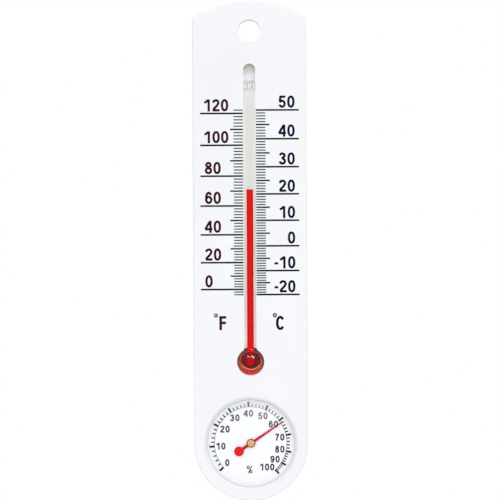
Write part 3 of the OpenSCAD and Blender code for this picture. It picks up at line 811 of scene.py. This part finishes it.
def arc_band(start, end, near, far, steps):
    """A printed arc round the scale's centre."""
    points, faces = [], []
    for i in range(steps + 1):
        angle = start + (end - start) * i / steps
        points += [(*clock_point(angle, r), d) for r in (near, far) for d in (0, 1)]
    points = [(x, d, z) for x, z, d in points]
    for i in range(steps):
        a, b = 4 * i, 4 * (i + 1)
        faces += [(a, a + 2, b + 2, b), (a + 1, b + 1, b + 3, a + 3), (a, b, b + 1, a + 1),
                  (a + 2, a + 3, b + 3, b + 2)]
    last = 4 * steps
    faces += [(0, 1, 3, 2), (last, last + 2, last + 3, last + 1)]
    return points, faces, 0, 0, 1, 1


# Painted glare near the top of the dial: where the inks are palest, the reach over which they fade
# there, and the colour they fade to
GLARE_SPOT = (dial_x + 3.0 * MM, 0.0, dial_z + 17.0 * MM)
GLARE_FROM, GLARE_MOST = 15.0 * MM, 3.0 * MM
GLARE_TONE = rgb(242, 238, 248)


def dial_ink(name, full, thin, most):
    """An ink that fades towards the spot of painted glare, by a share at most."""
    finish, tree, shader = new_finish(name, Specular_IOR_Level=0.05)
    layer = wire(tree, shader, screen_ink, 0.15, 0.01 * MM, {"Ink": full, "Thin": thin})
    pale = spread(tree, reach_of(tree, spot_on(tree), GLARE_SPOT), GLARE_FROM, GLARE_MOST, 0.0, most)
    tree.links.new(mixed(tree, pale, layer.outputs["Colour"], GLARE_TONE), shader.inputs["Base Color"])
    return finish


dial_black = dial_ink("dial_black", rgb(2, 8, 8), rgb(14, 24, 22), 0.2)
dial_fine = dial_ink("dial_fine_grey", rgb(24, 42, 36), rgb(60, 80, 74), 0.46)
dial_violet = dial_ink("dial_violet", rgb(40, 2, 56), rgb(62, 26, 80), 0.24)

# Lines and arc run from one distance to another, and the fine lines are thinner where the scale is
# crowded, from 90 per cent
TEN_NEAR, TEN_FAR, TEN_THICK = 15.95 * MM, 18.3 * MM, 0.88 * MM
FINE_NEAR, FINE_FAR, FINE_THICK, CROWDED_THICK = 16.0 * MM, 17.38 * MM, 0.58 * MM, 0.44 * MM
ARC_NEAR, ARC_FAR, ARC_STEPS = 15.93 * MM, 16.11 * MM, 96
tens = [radial_line(angle, TEN_NEAR, TEN_FAR, TEN_THICK) for angle in TENS]
new_print("humidity_lines", tens, dial_black, dial_face)
fine = [radial_line(np.interp(p, range(0, 101, 10), TENS), FINE_NEAR, FINE_FAR,
                    FINE_THICK if p < 90 else CROWDED_THICK)
        for p in range(0, 101, 2) if p % 10]
fine.append(arc_band(TENS[0], TENS[-1], ARC_NEAR, ARC_FAR, ARC_STEPS))
new_print("humidity_fine_lines", fine, dial_fine, dial_face)

# The middle of each number, in mm from the dial's centre
DIAL_NUMBER_H, DIAL_ADVANCE, DIAL_PEN = 3.0 * MM, 0.76, 0.203
spots = {0: (-10.55, -8.57), 10: (-13.37, -1.27), 20: (-11.48, 6.24), 30: (-7.12, 11.21), 40: (-1.1, 13.19),
         50: (5.28, 12.0), 60: (9.89, 8.31), 70: (12.66, 2.55), 80: (12.66, -2.77), 90: (10.55, -7.12),
         100: (6.99, -10.6)}
numbers = []
for value, (x, z) in spots.items():
    numbers += number_solids(str(value), dial_x + x * MM, dial_z + z * MM - DIAL_NUMBER_H / 2,
                             DIAL_NUMBER_H, DIAL_ADVANCE, "middle", DIAL_PEN)
new_print("humidity_numbers", numbers, dial_violet, dial_face)

# The sign's height, its pen and half its width as shares of that, and its middle from the centre
PERCENT_H, PERCENT_PEN, PERCENT_HALF = 3.5 * MM, 0.115, 0.37
PERCENT_X, PERCENT_Z = -0.7 * MM, -11.65 * MM
PERCENT = [bow(0.2, 0.76, 0.13, 0.16, 0, 360, 24), bow(0.54, 0.24, 0.13, 0.16, 0, 360, 24),
           [(0.66, 0.98), (0.2, 0.02)]]
sign = (*glyph_solid("%", PERCENT, PERCENT_PEN), dial_x + PERCENT_X - PERCENT_HALF * PERCENT_H,
        dial_z + PERCENT_Z - PERCENT_H / 2, PERCENT_H, PERCENT_H)
new_print("percent_mark", [sign], dial_black, dial_face)


# Window
# A clear polystyrene disc with a rim that is clamped behind the face. It carries a few hairline
# scratches from wiping.

window_clear, tree, shader = new_finish("window_clear", Base_Color=NO_TINT, Roughness=0.0,
                                        IOR=1.3, Transmission_Weight=1.0)
wipe_long = place(tree, "Mapping", {"Vector": spot_on(tree), "Rotation": (0.0, 0.5, 0.0),
                                    "Scale": (1.0, 1.0, 0.03)})
roughen(tree, shader, noise(tree, wipe_long.outputs["Vector"], 2500.0, 2.0), 0.02, 0.005 * MM)
keep_lit(tree, shader, NO_TINT)
dress("dial_lens", window_clear)


# Pointer, hub and shaft
# The pointer is stamped from thin sheet and sprayed red, brightest on its round counterweight. A
# turned brass hub holds it on a steel shaft, whose end shows in the middle.

pointer_red, tree, shader = new_finish("pointer_red", Specular_IOR_Level=0.04)
paint = wire(tree, shader, moulded_skin, 0.12, 0.01 * MM,
             {"Colour": rgb(228, 2, 8), "Cloud": rgb(216, 2, 14), "Cloud scale": 90.0,
              "Grain scale": 3000.0, "Glossy": 0.3, "Dull": 0.45})

# The weight's middle lies opposite the tip, which points this far clockwise from the top at rest
REST_ANGLE = math.radians(56.1)
WEIGHT_REACH = 6.4 * MM
weight_centre = (dial_x - WEIGHT_REACH * math.sin(REST_ANGLE), 0.0,
                 dial_z - WEIGHT_REACH * math.cos(REST_ANGLE))
off_weight = spread(tree, reach_of(tree, spot_on(tree), weight_centre), 1.6 * MM, 2.3 * MM)
tree.links.new(mixed(tree, off_weight, paint.outputs["Colour"], rgb(190, 2, 46)),
               shader.inputs["Base Color"])
dress("pointer", pointer_red)

brass, tree, shader = new_finish("brass", Metallic=1.0)
wire(tree, shader, turned_metal, 0.15, 0.01 * MM,
     {"Bright": rgb(255, 228, 158), "Tarnish": rgb(232, 192, 112), "Centre": dial_centre,
      "Ring scale": 30000.0, "Glossy": 0.22, "Dull": 0.4})
for node in ("front_bush", "coil_collet", "coil_anchor", "adjuster_arm", "adjuster_spindle"):
    dress(node, brass)

# Painted shade: the hub is painted darker at its edge and in a ring round the end of the shaft
hub_brass, tree, shader = new_finish("hub_brass", Metallic=1.0)
turning = wire(tree, shader, turned_metal, 0.15, 0.01 * MM,
               {"Bright": rgb(244, 220, 148), "Tarnish": rgb(218, 188, 112), "Centre": dial_centre,
                "Ring scale": 30000.0, "Glossy": 0.22, "Dull": 0.4})
hub_reach = reach_of(tree, spot_on(tree), dial_centre)
hub_edge_shade = mixed(tree, spread(tree, hub_reach, 1.15 * MM, 1.6 * MM), turning.outputs["Colour"],
                 rgb(150, 106, 44))
hub_ring_shade = times(tree, spread(tree, hub_reach, 0.95 * MM, 0.85 * MM),
                   spread(tree, hub_reach, 0.6 * MM, 0.7 * MM))
tree.links.new(mixed(tree, hub_ring_shade, hub_edge_shade, rgb(176, 146, 82)), shader.inputs["Base Color"])
dress("pointer_hub", hub_brass)

shaft_steel, tree, shader = new_finish("shaft_steel", Metallic=1.0)
wire(tree, shader, turned_metal, 0.1, 0.01 * MM,
     {"Bright": rgb(222, 210, 172), "Tarnish": rgb(188, 174, 132), "Centre": dial_centre,
      "Ring scale": 40000.0, "Glossy": 0.2, "Dull": 0.35})
dress("pointer_shaft", shaft_steel)
dress("friction_washer", shaft_steel)


# Humidity coil
# A strip of thin copper alloy with a moisture-sensitive film on it, wound to a flat spiral that
# tightens and opens with the humidity. Its film is a dull brown with fine lines along the strip.

coil_strip, tree, shader = new_finish("coil_strip", Metallic=0.6)
strip_long = place(tree, "VectorMath", {0: spot_on(tree), 1: (0.1, 1.0, 0.1)}, operation="MULTIPLY")
strip_lines = noise(tree, strip_long.outputs[0], 5000.0, 3.0)
tree.links.new(mixed(tree, spread(tree, strip_lines, 0.35, 0.65), rgb(176, 118, 78), rgb(138, 88, 56)),
               shader.inputs["Base Color"])
tree.links.new(spread(tree, strip_lines, 0.3, 0.7, 0.35, 0.55), shader.inputs["Roughness"])
roughen(tree, shader, strip_lines, 0.2, 0.02 * MM)
dress("humidity_coil", coil_strip)
soften("humidity_coil", CURVE_LIMIT)


# Studio
# A plain pale floor far below the hanging instrument, a white world behind it, and two soft lamps
# above it at the left and right. Two more add mirrored light alone, for the glints on the bulb.

FLOOR_SIZE, FLOOR_Z = 1.6, -0.6
bpy.ops.mesh.primitive_plane_add(size=FLOOR_SIZE, location=(0.0, 0.0, FLOOR_Z))
floor = bpy.context.object
floor.name = "floor"
floor_pale, tree, shader = new_finish("floor_pale", Roughness=0.8)
tree.links.new(mixed(tree, noise(tree, spot_on(tree), 3.0, 2.0), rgb(249, 249, 249), rgb(246, 246, 247)),
               shader.inputs["Base Color"])
floor.data.materials.append(floor_pale)
floor.visible_glossy = False

# The world is white to the camera and through glass. Mirrored, it is white behind the instrument and
# dark in front of it. Its scattered light is strongest from straight ahead and straight behind, much
# weaker from the sides, and a little stronger from above than from below.
world = bpy.data.worlds.new("studio")
bpy.context.scene.world = world
world.use_nodes = True
tree = world.node_tree
background = tree.nodes["Background"]
background.inputs["Color"].default_value = NO_TINT
seen = tree.nodes.new("ShaderNodeLightPath")
direction = place(tree, "SeparateXYZ", {0: tree.nodes.new("ShaderNodeTexCoord").outputs["Generated"]})
clear = maths(tree, "MAXIMUM", seen.outputs["Is Camera Ray"], seen.outputs["Is Transmission Ray"])
mirrored = times(tree, seen.outputs["Is Glossy Ray"],
                 spread(tree, direction.outputs["Y"], 0.35, 0.0, 1.0, 0.1))
along = maths(tree, "POWER", maths(tree, "ABSOLUTE", direction.outputs["Y"]), 16.0)
soft_light = maths(tree, "ADD", spread(tree, along, 0.0, 1.0, 0.43, 3.42),
                   spread(tree, direction.outputs["Z"], -1.0, 1.0, -0.3, 0.35))
scattered = times(tree, seen.outputs["Is Diffuse Ray"], soft_light)
strength = maths(tree, "MAXIMUM", maths(tree, "MAXIMUM", clear, mirrored), scattered)
tree.links.new(strength, background.inputs["Strength"])


def lamp(name, side, size_x, size_y, watts):
    """A soft lamp aimed at the bulb from a direction (x, y, z)."""
    light = bpy.data.lights.new(name, "AREA")
    light.shape = "RECTANGLE"
    light.size, light.size_y, light.energy = size_x, size_y, watts
    obj = bpy.data.objects.new(name, light)
    aim = Vector((0.0, 0.0, bulb_z))
    obj.location = aim + Vector(side)
    obj.rotation_euler = Vector(side).to_track_quat("Z", "Y").to_euler()
    bpy.context.scene.collection.objects.link(obj)
    return obj


lamp("lamp_left", (-0.60, -1.30, 1.46), 0.4, 0.4, 2.9)
lamp("lamp_right", (0.66, -1.38, 1.42), 0.7, 0.5, 5.0)
for name, side, wide, tall, watts, roll in (
        ("glint_left", (-0.58, -1.25, 1.44), 0.26, 0.5, 3.6, 0.5),
        ("glint_right", (0.61, -1.43, 1.22), 1.05, 0.42, 11.0, -0.6)):
    glint = lamp(name, side, wide, tall, watts)
    glint.visible_diffuse = False
    glint.rotation_euler.rotate_axis("Z", roll)

# The photo is taken straight on from nearly a metre away, with the strip leaning 0.3 degrees
PHOTO_PX = 500
PX_PER_MM = 2.2745
PHOTO_DISTANCE = 0.9
PHOTO_X, PHOTO_Z = -0.03 * MM, -96.28 * MM
LEAN = math.radians(0.2956)
SENSOR = 36.0
camera_data = bpy.data.cameras.new("camera")
camera_data.sensor_width = SENSOR
camera_data.lens = SENSOR * PHOTO_DISTANCE / (PHOTO_PX / PX_PER_MM * MM)
camera = bpy.data.objects.new("camera", camera_data)
camera.location = (PHOTO_X, -PHOTO_DISTANCE, PHOTO_Z)
camera.rotation_euler = (math.pi / 2, LEAN, 0.0)
bpy.context.scene.collection.objects.link(camera)
bpy.context.scene.camera = camera
bpy.context.scene.view_settings.view_transform = "Standard"
